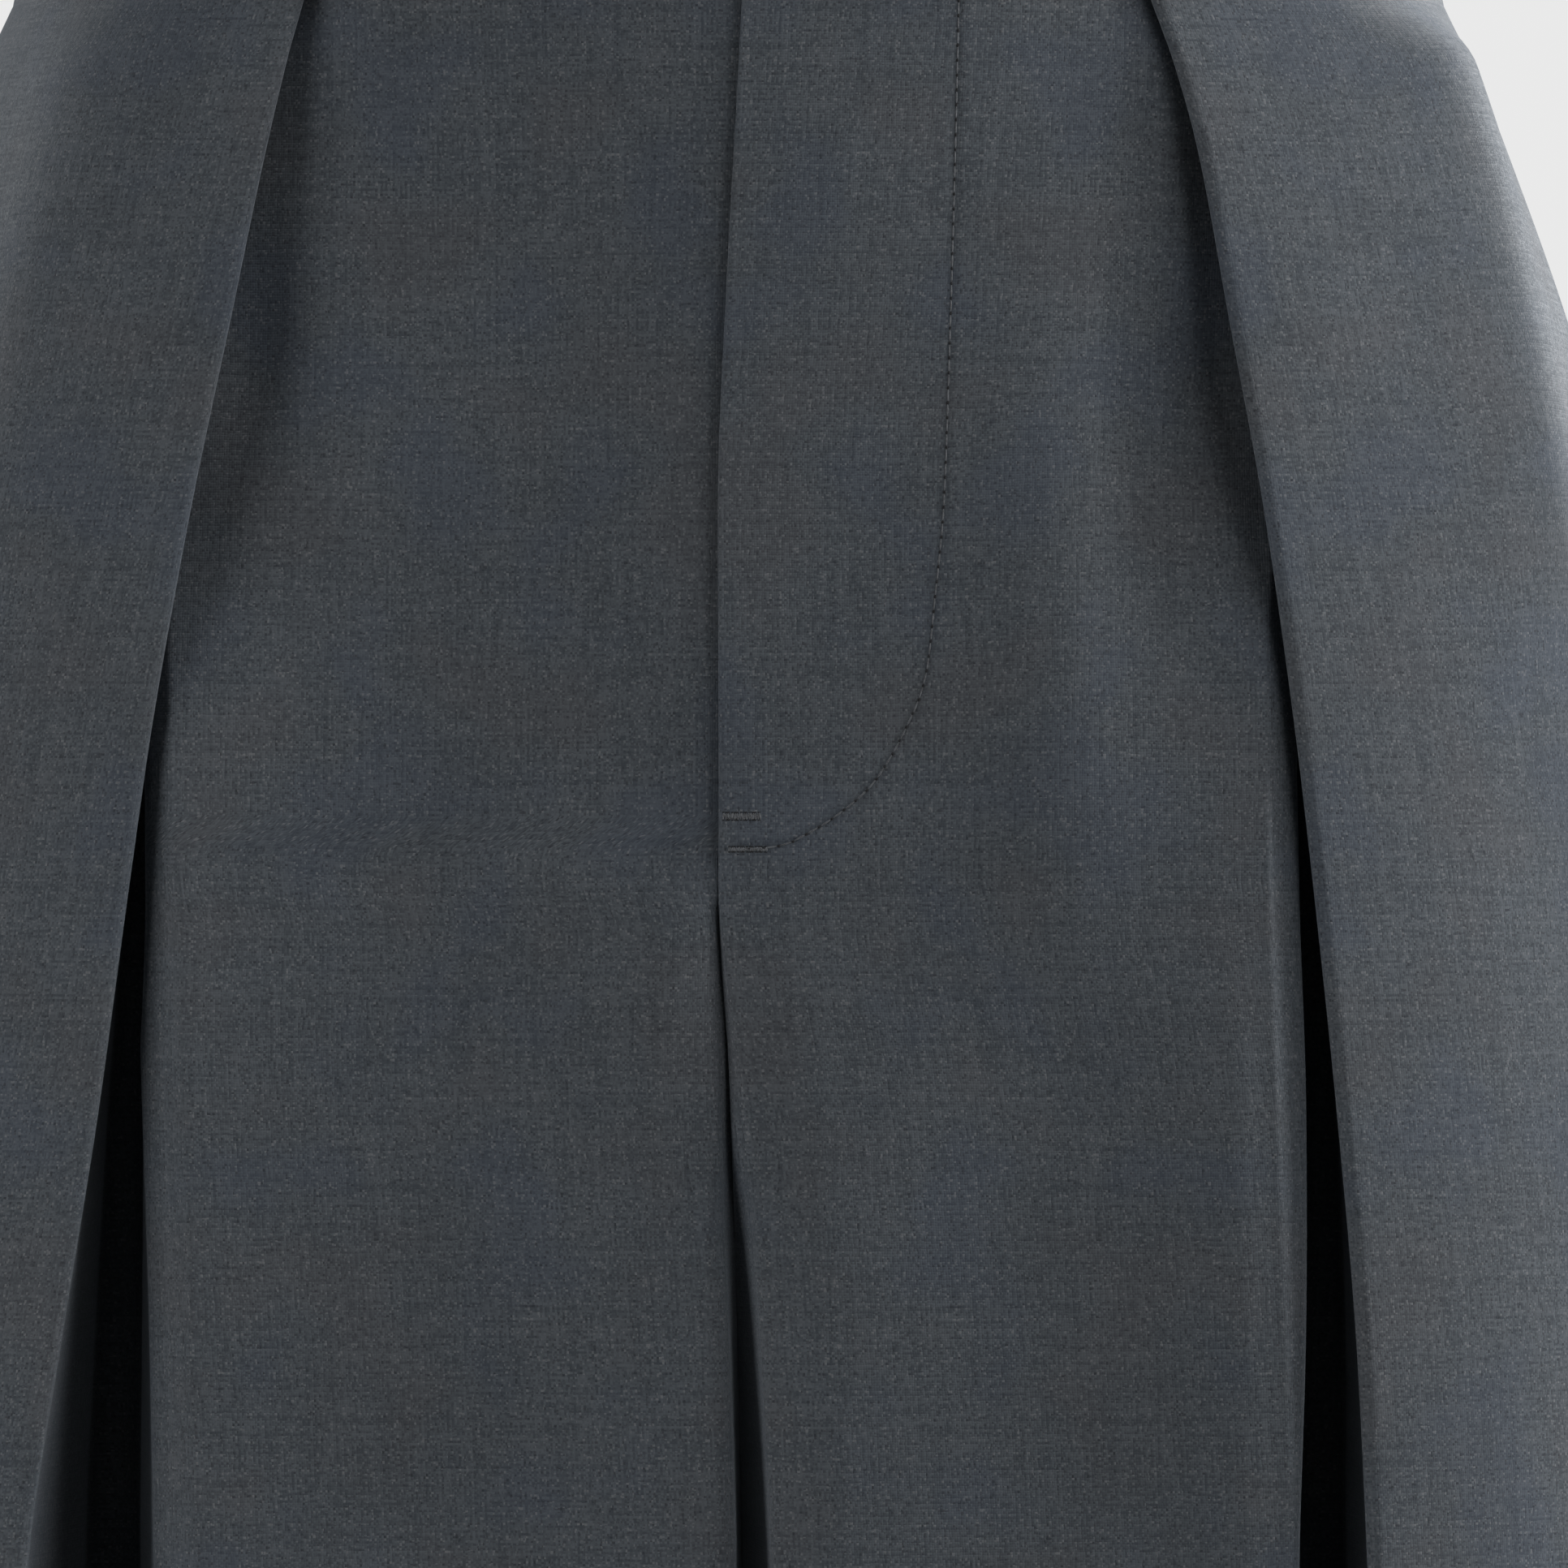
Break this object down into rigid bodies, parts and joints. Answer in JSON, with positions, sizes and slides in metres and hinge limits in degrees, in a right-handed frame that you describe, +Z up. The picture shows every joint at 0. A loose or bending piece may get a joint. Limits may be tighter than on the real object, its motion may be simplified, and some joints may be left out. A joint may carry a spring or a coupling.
{
  "type": "oversized pleated trousers",
  "caption": "Oversized wide-leg wool trousers in their worn, hollow shape, with deep forward pleats, pressed leg creases and a fly front closed by a hidden zip and a waist button.",
  "frame": {"origin": "centre of the waist opening, half way up the waistband, where the wearer's waist holds the garment", "axes": "+Z up along the body, the front of the garment towards -Y, +X towards the wearer's left (the viewer's right)"},
  "size_m": [0.41, 0.2361, 1.0703],
  "materials": {
    "wool": "charcoal tropical-weight plain-weave wool, matt with a faint sheen at a grazing angle",
    "zip_tape": "dark grey woven tape",
    "zip_metal": "dull grey metal zip chain and slider",
    "button": "dark mottled horn-look button, satin"
  },
  "bodies": {
    "root": {"front_left": "wool", "front_right": "wool", "back_left": "wool", "back_right": "wool", "waistband_left": "wool", "waistband_right": "wool", "fly_shield": "wool", "zip_tape_left": "zip_tape", "zip_tape_right": "zip_tape", "zip_chain": "zip_metal", "zip_slider": "zip_metal", "waist_button": "button"}
  },
  "joints": []
}
